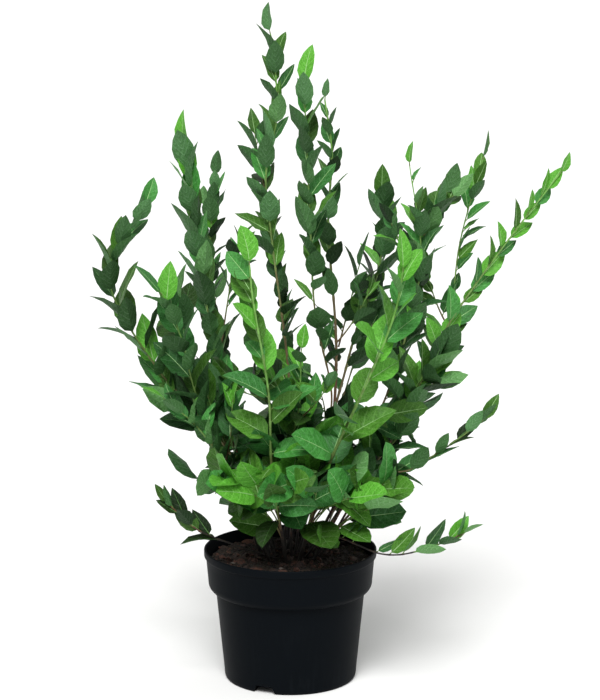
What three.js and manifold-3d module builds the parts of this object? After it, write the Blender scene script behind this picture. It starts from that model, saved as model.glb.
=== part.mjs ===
// A young blueberry bush in a three-litre nursery pot.
// Millimetres, +Z up. The origin is the centre of the pot's underside.
// Every cane starts on the soil with a flat cut and runs up to the leaf mass that it carries.
// A leaf mass is one closed, uneven solid: a spire along a shoot, or a clump low in the crown.

import * as THREE from "three";
import { mergeVertices } from "three/addons/utils/BufferGeometryUtils.js";
import Module from "manifold-3d";

const wasm = await Module();
wasm.setup();

// Pot
const potHeight = 146;
const rimRadius = 95;
const rimFlare = 9;
const collarTopRadius = 92.8;
const collarFootRadius = 90.4;
const collarDrop = 37;
const lipDrop = 9.5;
const bodyTopRadius = 82.1;
const bodyFootRadius = 73;
const footRadius = 70;
const footRounding = 6;
const wallThickness = 2.4;
const footRingWidth = 9;
const floorHeight = 9;
const hubRadius = 13;
const potSides = 32;
const notchCount = 3;
const notchTopWidth = 19;
const notchFootWidth = 26;
const notchHeight = 8.6;
const notchTurn = -113.4;
const drainSlot = { inner: 40, outer: 56, width: 15 };

// Soil
const soilTop = 136;
const soilEdgeDrop = 3;
const soilFlatRadius = 52;

// Fits
const gap = 0.3;
const leafGap = 0.4;
const weldStep = 1e-4;
const smallestBough = 20;

// Canes
const caneFootRadius = 3.6;
const caneTipRadius = 1.3;
const caneSides = 6;
const caneStep = 45;
const canePlunge = 30;
const caneTaperPower = 0.7;
const caneStart = { lean: 0.1, rise: 0.2 };

// Leaf masses
const spireSides = 7;
const spireStep = 26;
const spireLobe = 0.24;
const spireFoot = 0.4;
const spireFullAt = 0.3;
const spireTipPower = 0.36;
const goldenAngle = THREE.MathUtils.degToRad(137.5);
const clumpDetail = 2;
const clumpLump = 0.13;
const clumpWave = { x: 5, y: 6, z: 7, upright: 0.6 };
const curveDivisions = 400;

// Shoots: foot is where the cane leaves the soil, bend and reach are points it passes through,
// tip is its end. bare is the share of its length without leaves, girth the half width of its leaves.
const shoots = {
  tall: {
    foot: [-7, 6], bend: [0, 15, 309], reach: [-26, 28, 560], tip: [-14, 30, 738],
    bare: 0.4, girth: 23,
  },
  tall_right: {
    foot: [5, 0], bend: [27, -5, 313], reach: [22, -15, 540], tip: [13, -20, 692],
    bare: 0.31, girth: 22,
  },
  slim: {
    foot: [9, 11], bend: [50, 45, 268], reach: [50, 78, 500], tip: [42, 90, 652],
    bare: 0.37, girth: 25,
  },
  left_high: {
    foot: [-16, -3], bend: [-62, 25, 250], reach: [-97, 42, 430], tip: [-119, 45, 630],
    bare: 0.33, girth: 22,
  },
  left_fork: {
    forked: true, foot: [-22, 9], bend: [-63, 62, 244], reach: [-88, 110, 410], tip: [-78, 135, 578],
    bare: 0.4, girth: 18,
  },
  left_arch: {
    foot: [-32, 1], bend: [-98, -20, 300], reach: [-189, -30, 432], tip: [-150, -30, 568],
    bare: 0.56, girth: 22,
  },
  left_mid: {
    foot: [-23, -13], bend: [-74, -40, 293], reach: [-120, -58, 375], tip: [-140, -70, 456],
    bare: 0.48, girth: 29,
  },
  left_low: {
    forked: true, foot: [-22, -26], bend: [-60, -56, 240], reach: [-104, -72, 308], tip: [-156, -80, 364],
    bare: 0.42, girth: 18,
  },
  front_left: {
    foot: [-4, -30], bend: [-20, -76, 254], reach: [-36, -110, 400], tip: [-58, -125, 532],
    bare: 0.38, girth: 29,
  },
  front_right: {
    foot: [10, -22], bend: [42, -76, 254], reach: [92, -115, 375], tip: [128, -125, 496],
    bare: 0.38, girth: 29,
  },
  front_centre: {
    forked: true, foot: [1, -12], bend: [2, -40, 240], reach: [8, -56, 330], tip: [12, -66, 412],
    bare: 0.5, girth: 21,
  },
  right_arch: {
    foot: [27, -6], bend: [114, -5, 284], reach: [216, 5, 464], tip: [306, 5, 575],
    bare: 0.5, girth: 17,
  },
  right_high: {
    foot: [35, 5], bend: [121, 60, 276], reach: [188, 105, 438], tip: [222, 110, 588],
    bare: 0.42, girth: 18,
  },
  right_mid: {
    foot: [21, 8], bend: [108, 25, 307], reach: [142, 46, 440], tip: [128, 50, 580],
    bare: 0.38, girth: 22,
  },
  right_fork: {
    forked: true, foot: [21, 8], bend: [104, 40, 300], reach: [142, 70, 430], tip: [188, 92, 548],
    bare: 0.74, girth: 25,
  },
  right_elbow: {
    forked: true, foot: [27, -6], bend: [110, -22, 276], reach: [148, -30, 330], tip: [182, -35, 376],
    bare: 0.62, girth: 19,
  },
  right_low: {
    forked: true, foot: [23, -23], bend: [101, -52, 238], reach: [160, -62, 276], tip: [226, -68, 324],
    bare: 0.4, girth: 17,
  },
  rim_right: {
    foot: [15, -10], bend: [66, -70, 174], reach: [128, -92, 178], tip: [199, -100, 203],
    bare: 0.36, girth: 14,
  },
  rim_left: {
    foot: [-10, -18], bend: [-62, -48, 184], reach: [-104, -66, 206], tip: [-150, -72, 224],
    bare: 0.45, girth: 17,
  },
  back_centre: {
    forked: true, foot: [-5, 19], bend: [46, 70, 262], reach: [84, 110, 408], tip: [104, 125, 543],
    bare: 0.42, girth: 29,
  },
  back_left: {
    foot: [-17, 24], bend: [-55, 95, 260], reach: [-84, 150, 380], tip: [-100, 172, 500],
    bare: 0.31, girth: 23,
  },
  back_high: {
    foot: [-2, 34], bend: [-4, 100, 280], reach: [-20, 152, 410], tip: [-36, 178, 534],
    bare: 0.42, girth: 23,
  },
  back_right: {
    forked: true, foot: [8, 25], bend: [52, 112, 262], reach: [86, 162, 370], tip: [112, 188, 476],
    bare: 0.31, girth: 23,
  },
  back_low_left: {
    forked: true, foot: [-30, 21], bend: [-74, 100, 210], reach: [-104, 142, 256], tip: [-136, 182, 312],
    bare: 0.45, girth: 20,
  },
  back_low_right: {
    forked: true, foot: [24, 20], bend: [80, 100, 202], reach: [122, 146, 244], tip: [162, 180, 298],
    bare: 0.45, girth: 20,
  },
};

// Clumps low in the crown: a centre and the half sizes of the uneven ball.
const clumps = {
  skirt_front_left: { centre: [-66, -74, 208], half: [48, 38, 31] },
  skirt_front: { centre: [3, -98, 203], half: [46, 33, 33] },
  skirt_front_right: { centre: [74, -76, 213], half: [46, 38, 31] },
  skirt_back_left: { centre: [-72, 70, 218], half: [50, 44, 34] },
  skirt_back_right: { centre: [74, 72, 214], half: [50, 44, 34] },
  skirt_back: { centre: [0, 104, 208], half: [44, 34, 32] },
  shoulder_left: { centre: [-84, -14, 280], half: [42, 48, 44] },
  shoulder_right: { centre: [98, -16, 276], half: [46, 48, 44] },
  heart: { centre: [2, -36, 272], half: [54, 44, 46] },
  heart_back: { centre: [2, 66, 300], half: [58, 46, 46] },
  crown_middle: { centre: [14, -22, 348], half: [54, 44, 34] },
};

// Finish of each material.
const finishes = {
  potPlastic: { color: 0x15191b, roughness: 0.5, metalness: 0 },
  soil: { color: 0x2a1b12, roughness: 0.95, metalness: 0 },
  bark: { color: 0x6b5a38, roughness: 0.8, metalness: 0 },
  foliage: { color: 0x3f7a3c, roughness: 0.55, metalness: 0 },
};
const materials = {};
for (const [slot, finish] of Object.entries(finishes)) {
  materials[slot] = new THREE.MeshStandardMaterial({ name: slot, ...finish });
}

// One closed shell: shared vertices joined, and no triangle with two equal corners.
function weld(geometry) {
  const bare = new THREE.BufferGeometry();
  bare.setAttribute("position", geometry.getAttribute("position"));
  bare.setIndex(geometry.getIndex());
  const merged = mergeVertices(bare, weldStep);
  const corners = merged.getIndex().array;
  const kept = [];
  for (let i = 0; i < corners.length; i += 3) {
    const [a, b, c] = corners.slice(i, i + 3);
    if (a !== b && b !== c && c !== a) {
      kept.push(a, b, c);
    }
  }
  merged.setIndex(kept);
  return merged;
}

function toSolid(geometry) {
  const shell = weld(geometry);
  const vertProperties = new Float32Array(shell.getAttribute("position").array);
  const triVerts = new Uint32Array(shell.getIndex().array);
  return new wasm.Manifold(new wasm.Mesh({ numProp: 3, vertProperties, triVerts }));
}

function toGeometry(solid) {
  const { vertProperties, triVerts } = solid.getMesh();
  const geometry = new THREE.BufferGeometry();
  geometry.setAttribute("position", new THREE.BufferAttribute(new Float32Array(vertProperties), 3));
  geometry.setIndex(new THREE.BufferAttribute(new Uint32Array(triVerts), 1));
  geometry.computeVertexNormals();
  return geometry;
}

function makePart(name, solid, slot, parent) {
  const mesh = new THREE.Mesh(toGeometry(solid), materials[slot]);
  mesh.name = name;
  parent.add(mesh);
}

// Lathe about +Z of [radius, height] pairs that start and end on the axis.
function turned(profile, sides) {
  const points = profile.map(([radius, height]) => new THREE.Vector2(radius, height));
  const geometry = new THREE.LatheGeometry(points, sides);
  geometry.rotateX(Math.PI / 2);
  return geometry;
}

function quarterRound(centreR, centreZ, radiusR, radiusZ, from, to, steps) {
  const points = [];
  for (let i = 0; i <= steps; i += 1) {
    const angle = THREE.MathUtils.degToRad(THREE.MathUtils.lerp(from, to, i / steps));
    points.push([centreR + radiusR * Math.cos(angle), centreZ + radiusZ * Math.sin(angle)]);
  }
  return points;
}

const collarFootHeight = potHeight - collarDrop;
const bodyTop = collarFootHeight - lipDrop;
const floorTop = floorHeight + wallThickness;

function innerRadiusAt(height) {
  const share = (height - footRounding) / (bodyTop - footRounding);
  return THREE.MathUtils.lerp(bodyFootRadius, bodyTopRadius, share) - wallThickness;
}

function makePot() {
  const footCorner = quarterRound(
    footRadius, footRounding, bodyFootRadius - footRadius, footRounding, -90, 0, 2);
  const lip = quarterRound(
    bodyTopRadius, collarFootHeight, collarFootRadius - bodyTopRadius, lipDrop, -90, 0, 3);
  const profile = [
    [0, 0],
    [hubRadius, 0],
    [hubRadius, floorHeight],
    [footRadius - footRingWidth, floorHeight],
    [footRadius - footRingWidth, 0],
    ...footCorner,
    ...lip,
    [collarTopRadius, potHeight - rimFlare],
    [rimRadius, potHeight - wallThickness / 2],
    [rimRadius - wallThickness / 2, potHeight],
    [rimRadius - wallThickness * 1.5, potHeight - wallThickness / 2],
    [collarTopRadius - wallThickness, potHeight - rimFlare],
    [collarFootRadius - wallThickness, collarFootHeight],
    [innerRadiusAt(bodyTop), bodyTop],
    [innerRadiusAt(floorTop), floorTop],
    [0, floorTop],
  ];
  let pot = toSolid(turned(profile, potSides));
  for (let i = 0; i < notchCount; i += 1) {
    const turn = THREE.MathUtils.degToRad(notchTurn + (360 / notchCount) * i);
    pot = pot.subtract(toSolid(notchCutter().rotateZ(turn)));
    pot = pot.subtract(toSolid(slotCutter().rotateZ(turn)));
  }
  return pot;
}

// A wedge through the foot ring, wider at the bottom, pointing along +X.
function notchCutter() {
  const below = 1;
  const spread = (notchFootWidth - notchTopWidth) / notchHeight / 2;
  const outline = new THREE.Shape();
  outline.moveTo(-notchFootWidth / 2 - spread * below, -below);
  outline.lineTo(notchFootWidth / 2 + spread * below, -below);
  outline.lineTo(notchTopWidth / 2, notchHeight);
  outline.lineTo(-notchTopWidth / 2, notchHeight);
  outline.closePath();
  const cutter = new THREE.ExtrudeGeometry(outline, { depth: rimRadius, bevelEnabled: false });
  cutter.translate(0, 0, footRadius - footRingWidth * 1.5);
  cutter.applyMatrix4(new THREE.Matrix4().makeBasis(
    new THREE.Vector3(0, 1, 0), new THREE.Vector3(0, 0, 1), new THREE.Vector3(1, 0, 0)));
  return cutter;
}

// The drain slot in the pot's floor, just inside each notch.
function slotCutter() {
  const cutter = new THREE.BoxGeometry(drainSlot.outer - drainSlot.inner, drainSlot.width, floorTop);
  cutter.translate((drainSlot.outer + drainSlot.inner) / 2, 0, floorTop);
  return cutter;
}

function makeSoil() {
  const foot = floorTop + gap;
  const profile = [
    [0, foot],
    [innerRadiusAt(foot) - gap, foot],
    [innerRadiusAt(bodyTop) - gap, bodyTop],
    [collarFootRadius - wallThickness - gap, collarFootHeight + gap],
    [collarFootRadius - wallThickness - gap, soilTop - soilEdgeDrop],
    [soilFlatRadius, soilTop],
    [0, soilTop],
  ];
  return toSolid(turned(profile, potSides));
}

function shootCurve(shoot, standHeight) {
  const foot = new THREE.Vector3(...shoot.foot, standHeight);
  const [bend, reach, tip] = [shoot.bend, shoot.reach, shoot.tip].map((point) => new THREE.Vector3(...point));
  const start = new THREE.Vector3(
    THREE.MathUtils.lerp(foot.x, bend.x, caneStart.lean),
    THREE.MathUtils.lerp(foot.y, bend.y, caneStart.lean),
    THREE.MathUtils.lerp(foot.z, bend.z, caneStart.rise));
  const curve = new THREE.CatmullRomCurve3([foot, start, bend, reach, tip], false, "catmullrom", 0.5);
  curve.arcLengthDivisions = curveDivisions;
  return curve;
}

// Bends a lathe that stands along +Z, from height 0 to 1, so that it follows part of a curve.
// reshape(radius, angle, share) gives the real radius at each place.
function bendAlong(geometry, curve, from, to, reshape, levelFoot) {
  const position = geometry.getAttribute("position");
  const local = new THREE.Vector3();
  for (let i = 0; i < position.count; i += 1) {
    local.fromBufferAttribute(position, i);
    const share = THREE.MathUtils.clamp(local.z, 0, 1);
    const along = THREE.MathUtils.lerp(from, to, share);
    const centre = curve.getPointAt(THREE.MathUtils.clamp(along, 0, 1));
    const forward = curve.getTangentAt(THREE.MathUtils.clamp(along, 0, 1));
    if (levelFoot && share < weldStep) {
      forward.set(0, 0, 1);
    }
    const side = new THREE.Vector3(0, 1, 0).cross(forward).normalize();
    const other = new THREE.Vector3().crossVectors(forward, side);
    const angle = Math.atan2(local.y, local.x);
    const radius = reshape(Math.hypot(local.x, local.y), angle, share);
    centre.addScaledVector(side, radius * Math.cos(angle));
    centre.addScaledVector(other, radius * Math.sin(angle));
    centre.addScaledVector(forward, local.z - share);
    position.setXYZ(i, centre.x, centre.y, centre.z);
  }
  return geometry;
}

// The width of a spire's leaves along it: narrow where the cane comes in, full, then a blunt tip.
function spireWidth(share) {
  const base = spireFoot + (1 - spireFoot) * Math.sin(Math.min(share / spireFullAt, 1) * Math.PI / 2);
  return base * Math.pow(1 - share, spireTipPower);
}

function makeSpire(name, shoot, grow) {
  const curve = shootCurve(shoot, soilTop + gap);
  const length = curve.getLength();
  const rings = Math.max(4, Math.round((length * (1 - shoot.bare)) / spireStep));
  const profile = [[0, 0]];
  for (let i = 0; i < rings; i += 1) {
    profile.push([1, i / rings]);
  }
  profile.push([0, 1]);
  const phase = name.length;
  const reshape = (radius, angle, share) => {
    const lobe = 1 + spireLobe * Math.cos(angle - phase - goldenAngle * Math.round(share * rings));
    return radius * (shoot.girth * spireWidth(share) * lobe + grow);
  };
  const lathe = turned(profile, spireSides);
  return toSolid(bendAlong(lathe, curve, shoot.bare - grow / length, 1, reshape, false));
}

function makeClump(clump, grow) {
  const ball = new THREE.IcosahedronGeometry(1, clumpDetail);
  const position = ball.getAttribute("position");
  const [cx, cy, cz] = clump.centre;
  const [hx, hy, hz] = clump.half;
  for (let i = 0; i < position.count; i += 1) {
    const out = new THREE.Vector3().fromBufferAttribute(position, i).normalize();
    const level = Math.sin(out.x * clumpWave.x + cx) * Math.cos(out.y * clumpWave.y + cy);
    const upright = clumpWave.upright * Math.sin(out.z * clumpWave.z + cx + cy);
    const lump = 1 + clumpLump * (level + upright);
    position.setXYZ(i,
      cx + out.x * (hx * lump + grow), cy + out.y * (hy * lump + grow), cz + out.z * (hz * lump + grow));
  }
  return toSolid(ball);
}

function makeCane(shoot, grow) {
  const curve = shootCurve(shoot, soilTop + gap);
  const length = curve.getLength();
  const end = shoot.bare + canePlunge / length;
  const rings = Math.max(3, Math.round((length * end) / caneStep));
  const profile = [[0, 0]];
  for (let i = 0; i <= rings; i += 1) {
    profile.push([1, i / rings]);
  }
  profile.push([0, 1]);
  const reshape = (radius, angle, share) => {
    const taper = THREE.MathUtils.lerp(caneFootRadius, caneTipRadius, Math.pow(share * end, caneTaperPower));
    return radius * (taper + grow);
  };
  return toSolid(bendAlong(turned(profile, caneSides), curve, 0, end, reshape, true));
}

function boxesMeet(a, b) {
  const one = a.boundingBox();
  const two = b.boundingBox();
  return [0, 1, 2].every((k) => one.min[k] < two.max[k] && two.min[k] < one.max[k]);
}

function cutBy(solid, cutters) {
  let left = solid;
  for (const cutter of cutters) {
    if (boxesMeet(left, cutter)) {
      left = left.subtract(cutter);
    }
  }
  return left;
}

function longestSide(solid) {
  const box = solid.boundingBox();
  return Math.max(...[0, 1, 2].map((k) => box.max[k] - box.min[k]));
}

function biggestPiece(solid) {
  return solid.decompose().reduce((best, piece) => (piece.volume() > best.volume() ? piece : best));
}

// The bush.
const bush = new THREE.Group();
const potGroup = new THREE.Group();
const foliage = new THREE.Group();
const canes = new THREE.Group();
bush.add(potGroup, foliage, canes);

makePart("pot", makePot(), "potPlastic", potGroup);
makePart("soil", makeSoil(), "soil", potGroup);

// Leaf masses, each cut by those before it so that neighbours keep a gap.
const takenByLeaves = [];
for (const [name, clump] of Object.entries(clumps)) {
  makePart(`leaves_${name}`, biggestPiece(cutBy(makeClump(clump, 0), takenByLeaves)), "foliage", foliage);
  takenByLeaves.push(makeClump(clump, leafGap));
}
for (const [name, shoot] of Object.entries(shoots)) {
  makePart(
    `leaves_${name}`, biggestPiece(cutBy(makeSpire(name, shoot, 0), takenByLeaves)), "foliage", foliage);
  takenByLeaves.push(makeSpire(name, shoot, leafGap));
}

// Canes end where they enter a mass. A stretch that shows again beyond it is a bough of its own.
const takenByCanes = [];
for (const [name, shoot] of Object.entries(shoots)) {
  const pieces = cutBy(makeCane(shoot, 0), [...takenByLeaves, ...takenByCanes]).decompose();
  const byHeight = pieces.sort((a, b) => a.boundingBox().min[2] - b.boundingBox().min[2]);
  const [cane, ...boughs] = byHeight.filter((piece) => longestSide(piece) > smallestBough);
  if (!shoot.forked) {
    makePart(`cane_${name}`, cane, "bark", canes);
  }
  boughs.forEach((bough, i) => makePart(`bough_${name}${i > 0 ? `_${i + 1}` : ""}`, bough, "bark", canes));
  takenByCanes.push(makeCane(shoot, leafGap));
}

export default bush;
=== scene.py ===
import math
import bpy
import numpy as np
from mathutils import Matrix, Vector


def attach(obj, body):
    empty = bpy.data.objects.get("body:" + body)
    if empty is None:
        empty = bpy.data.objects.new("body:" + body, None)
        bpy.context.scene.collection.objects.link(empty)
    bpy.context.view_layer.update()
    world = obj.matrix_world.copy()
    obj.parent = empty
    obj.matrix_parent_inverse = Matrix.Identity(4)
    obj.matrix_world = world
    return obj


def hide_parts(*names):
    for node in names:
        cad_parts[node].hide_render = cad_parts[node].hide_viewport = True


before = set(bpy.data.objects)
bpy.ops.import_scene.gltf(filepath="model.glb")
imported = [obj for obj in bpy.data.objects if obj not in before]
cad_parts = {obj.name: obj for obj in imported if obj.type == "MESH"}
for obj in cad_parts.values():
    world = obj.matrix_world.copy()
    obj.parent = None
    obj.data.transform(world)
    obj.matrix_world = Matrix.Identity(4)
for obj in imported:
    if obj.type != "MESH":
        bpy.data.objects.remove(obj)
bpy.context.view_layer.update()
print("frame loaded with", len(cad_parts), "nodes")


# camera, floor and light

eye = {"place": (0.0107, -2.5, 0.8629), "pitch": 11.207, "lens": 121.0, "sensor": 36.0, "far": 200.0}

studio = {
    "sky": 0.44, "skyColour": (1.0, 1.0, 1.0),
    "key": {"strength": 3.4, "softness": 30, "from": (-0.15, -1.0, 1.3)},
    "fill": {"strength": 0.6, "softness": 70, "from": (1.2, 0.7, 0.8)},
    "floorRadius": 45.0, "floorSides": 64, "floorColour": (0.87, 0.87, 0.86), "floorRough": 0.9,
}


def placed(name, data):
    made = bpy.data.objects.new(name, data)
    bpy.context.scene.collection.objects.link(made)
    return made


camera = placed("viewCamera", bpy.data.cameras.new("viewCamera"))
camera.data.lens, camera.data.sensor_width = eye["lens"], eye["sensor"]
camera.data.clip_end = eye["far"]
camera.location = eye["place"]
camera.rotation_euler = (math.radians(90 - eye["pitch"]), 0, 0)
bpy.context.scene.camera = camera
bpy.context.scene.view_settings.view_transform = "Standard"


# nodes

class Socket:
    # a node's socket, so that maths on nodes is written as maths
    def __init__(self, nodes, socket):
        self.nodes, self.socket = nodes, socket

    def maths(self, operation, other=None, swapped=False):
        pair = (other, self) if swapped else (self, other)
        vectors = [isinstance(x, Socket) and x.socket.type == "VECTOR" for x in pair]
        if any(vectors) and operation == "MULTIPLY" and not all(vectors):
            vector, number = pair if vectors[0] else pair[::-1]
            values = {"Vector": vector, "Scale": number}
            return self.nodes.add("ShaderNodeVectorMath", values, operation="SCALE")
        kind = "ShaderNodeVectorMath" if any(vectors) else "ShaderNodeMath"
        values = {i: x for i, x in enumerate(pair) if x is not None}
        return self.nodes.add(kind, values, operation=operation)

    def __add__(self, other):
        return self.maths("ADD", other)

    def __sub__(self, other):
        return self.maths("SUBTRACT", other)

    def __rsub__(self, other):
        return self.maths("SUBTRACT", other, swapped=True)

    def __mul__(self, other):
        return self.maths("MULTIPLY", other)

    def __truediv__(self, other):
        return self.maths("DIVIDE", other)

    def __pow__(self, other):
        return self.maths("POWER", other)

    __radd__, __rmul__ = __add__, __mul__

    def part(self, name):
        # another output of the same node
        return Socket(self.nodes, self.socket.node.outputs[name])


class Nodes:
    def __init__(self, tree):
        self.tree = tree

    def find(self, sockets, key):
        usable = [s for s in sockets if s.enabled]
        if isinstance(key, int):
            return usable[key]
        return next(s for s in usable if key in (s.name, s.identifier))

    def add(self, kind, values=None, **settings):
        node = self.tree.nodes.new(kind)
        for name, value in settings.items():
            setattr(node, name, value)
        for key, value in (values or {}).items():
            socket = self.find(node.inputs, key)
            for item in value if isinstance(value, list) else [value]:
                if isinstance(item, Socket):
                    self.tree.links.new(item.socket, socket)
                else:
                    socket.default_value = item
        outputs = [s for s in node.outputs if s.enabled]
        return Socket(self, outputs[0]) if outputs else node

    def mixed(self, factor, first, second, blend="MIX"):
        values = {"Factor": factor, "A": first, "B": second}
        return self.add("ShaderNodeMix", values, data_type="RGBA", blend_type=blend)

    def between(self, value, low, high, kind="SMOOTHSTEP", to=(0.0, 1.0)):
        values = {"Value": value, "From Min": low, "From Max": high, "To Min": to[0], "To Max": to[1]}
        return self.add("ShaderNodeMapRange", values, interpolation_type=kind)

    def noise(self, place, scale, detail=2.0, roughness=0.5):
        values = {"Vector": place, "Scale": scale, "Detail": detail, "Roughness": roughness}
        return self.add("ShaderNodeTexNoise", values)

    def place(self):
        return self.add("ShaderNodeTexCoord").part("Object")

    def scaled(self, place, scale):
        return self.add("ShaderNodeMapping", {"Vector": place, "Scale": scale})

    def bump(self, height, strength, depth):
        values = {"Strength": strength, "Distance": depth, "Height": height}
        return self.add("ShaderNodeBump", values)

    def split(self, vector):
        return self.add("ShaderNodeSeparateXYZ", {0: vector})

    def joined(self, x, y, z=0.0):
        return self.add("ShaderNodeCombineXYZ", {"X": x, "Y": y, "Z": z})

    def random(self, low, high, seed):
        kind = "FLOAT" if isinstance(low, float) else "FLOAT_VECTOR"
        values = {"Min": low, "Max": high, "Seed": seed}
        return self.add("FunctionNodeRandomValue", values, data_type=kind)

    def painted(self, geometry, material, chosen=True):
        values = {"Geometry": geometry, "Selection": chosen, "Material": material}
        return self.add("GeometryNodeSetMaterial", values)

    def finished(self, geometry):
        self.add("NodeGroupOutput", {0: geometry})
        return self.tree

    def named(self, name, kind="FLOAT"):
        return self.add("GeometryNodeInputNamedAttribute", {"Name": name}, data_type=kind)

    def store(self, geometry, name, value, kind="FLOAT", domain="POINT"):
        values = {"Geometry": geometry, "Name": name, "Value": value}
        return self.add("GeometryNodeStoreNamedAttribute", values, data_type=kind, domain=domain)


def geometryTree(name, inputs):
    tree = bpy.data.node_groups.new(name, "GeometryNodeTree")
    tree.interface.new_socket("Mesh", in_out="INPUT", socket_type="NodeSocketGeometry")
    for label, value in inputs.items():
        kind = "NodeSocketInt" if isinstance(value, int) else "NodeSocketFloat"
        tree.interface.new_socket(label, in_out="INPUT", socket_type=kind).default_value = value
    tree.interface.new_socket("Mesh", in_out="OUTPUT", socket_type="NodeSocketGeometry")
    nodes = Nodes(tree)
    entry = tree.nodes.new("NodeGroupInput")
    return nodes, {s.name: Socket(nodes, s) for s in entry.outputs if s.name}


def evaluatedMesh(source):
    return bpy.data.meshes.new_from_object(source.evaluated_get(bpy.context.evaluated_depsgraph_get()))


def grown(name, mesh, tree, inputs):
    # what the tree makes of the mesh, as a plain mesh at the origin
    source = placed(name + "Source", mesh)
    modifier = source.modifiers.new("grower", "NODES")
    modifier.node_group = tree
    known = {item.name: item.identifier for item in tree.interface.items_tree if item.in_out == "INPUT"}
    for label, value in inputs.items():
        modifier[known[label]] = value
    made = evaluatedMesh(source)
    source.modifiers.remove(modifier)
    bpy.data.objects.remove(source)
    return placed(name, made)


def plainMesh(name, vertices, edges, faces):
    mesh = bpy.data.meshes.new(name)
    mesh.from_pydata(vertices, edges, faces)
    return mesh


def circle(radius, height, count):
    angles = [math.tau * i / count for i in range(count)]
    return [(radius * math.cos(a), radius * math.sin(a), height) for a in angles]


def seedMesh(name, points, edges, **attributes):
    mesh = plainMesh(name, [tuple(p) for p in points], edges, [])
    for label, values in attributes.items():
        values = np.array(values, np.float32)
        kind, field = ("FLOAT", "value") if values.ndim == 1 else ("FLOAT_VECTOR", "vector")
        mesh.attributes.new(label, kind, "POINT").data.foreach_set(field, values.ravel())
    return mesh


def linear(colour):
    # 0-255 screen colour to Blender's linear one
    parts = [c / 255 for c in colour]
    return tuple(c / 12.92 if c <= 0.04045 else ((c + 0.055) / 1.055) ** 2.4 for c in parts) + (1.0,)


def shaded(tint, share):
    return tuple(c * share for c in tint[:3]) + (1.0,)


def surface(name):
    material = bpy.data.materials.new(name)
    material.use_nodes = True
    material.node_tree.nodes.clear()
    nodes = Nodes(material.node_tree)
    nodes.material = material
    return nodes


def finishSurface(nodes, values):
    shader = nodes.add("ShaderNodeBsdfPrincipled", values)
    nodes.add("ShaderNodeOutputMaterial", {"Surface": shader})
    return nodes.material


# leaf and bark finishes

leafFinish = {
    # tones from dark to bright, above and below: partly the leaves' own tint, partly painted shade (dark
    # tones for shoots deep in or behind the crown) and painted light (bright tones for the lit front shoots)
    "tonesAndShades": [
        (19, 42, 11), (29, 58, 11), (32, 69, 29), (46, 84, 20), (40, 89, 37),
        (57, 103, 28), (50, 110, 46), (70, 125, 36), (62, 133, 54), (84, 158, 46),
    ],
    "underTonesAndShades": [(30, 58, 26), (48, 84, 42), (56, 98, 50), (66, 112, 58), (78, 128, 72), (96, 150, 82)],
    # midribs: the pale one on leaves of bright tone, the dull one on dark ones, so they carry the same
    # painted shade and light
    "ribTonesAndShades": [(92, 140, 74), (164, 204, 140)],
    "veinPairs": 6.0, "veinSweep": 0.3, "veinCurve": 1.25, "veinFrom": 0.7, "veinFade": 0.7,
    "veinAndSheenStrength": 0.8, "netScale": 13.0, "netWidth": 0.12, "netStrength": 0.6, "netHeight": 0.3,
    "mottleScale": 9.0, "mottleRange": (0.42, 0.66), "mottle": 0.6, "mottleHeight": 0.4, "deep": 0.5,
    "paleVeinAndSheen": (1.7, 1.4, 1.9), "paleVeinAndSheenLift": 0.03, "gloss": 0.42, "underGloss": 0.6, "ribGloss": 0.5,
    "glossRange": 0.12, "shine": 0.16, "bump": 0.55, "bumpDepth": 0.0007, "grain": 0.6, "grainShade": 0.75,
}


def leafSurface(name, colour, under):
    nodes = surface(name)
    look = leafFinish
    spot = nodes.split(nodes.add("ShaderNodeUVMap", uv_map="leafMap"))
    along, across = spot, spot.part("Y")
    out = (across * 2 - 1).maths("ABSOLUTE")
    phase = (along - out ** look["veinCurve"] * look["veinSweep"]) * look["veinPairs"]
    wave = (phase.maths("FRACT") - 0.5).maths("ABSOLUTE") * 2
    vein = nodes.between(wave, look["veinFrom"], 1.0) * (1 - out * look["veinFade"])
    place = nodes.joined(along * 2, across)
    cells = {"Vector": place, "Scale": look["netScale"]}
    net = nodes.add("ShaderNodeTexVoronoi", cells, feature="DISTANCE_TO_EDGE")
    netLine = nodes.between(net, 0.0, look["netWidth"], to=(1.0, 0.0))
    mottle = nodes.noise(place, look["mottleScale"], 3.0, 0.6)
    tint = linear(colour)
    # the colour that veins and net are mixed towards, paler and bluish-white: partly the leaf's own pale
    # veins, partly painted sheen
    paleVeinAndSheen = tuple(min(1, c * k + look["paleVeinAndSheenLift"]) for c, k in zip(tint, look["paleVeinAndSheen"])) + (1.0,)
    blotch = nodes.between(mottle, *look["mottleRange"]) * look["mottle"]
    base = nodes.mixed(blotch, tint, shaded(tint, look["deep"]))
    lines = (vein + netLine * look["netStrength"]).maths("MINIMUM", 1)
    base = nodes.mixed(lines * look["veinAndSheenStrength"], base, paleVeinAndSheen)
    raised = (vein + netLine * look["netHeight"]) * (1.0 if under else -1.0)
    gloss = look["underGloss" if under else "gloss"] - look["glossRange"] / 2
    return finishSurface(nodes, {
        "Base Color": base, "Roughness": mottle * look["glossRange"] + gloss,
        "Normal": nodes.bump(raised + mottle * look["mottleHeight"], look["bump"], look["bumpDepth"]),
        "Specular IOR Level": look["shine"]})


def ribSurface(name, colour):
    # midribs: pale, with a faint grain along them
    nodes = surface(name)
    look, tint = leafFinish, linear(colour)
    grain = nodes.noise(nodes.add("ShaderNodeUVMap", uv_map="leafMap"), look["mottleScale"])
    return finishSurface(nodes, {
        "Base Color": nodes.mixed(grain * look["grain"], tint, shaded(tint, look["grainShade"])),
        "Roughness": look["ribGloss"], "Specular IOR Level": look["shine"]})


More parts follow.
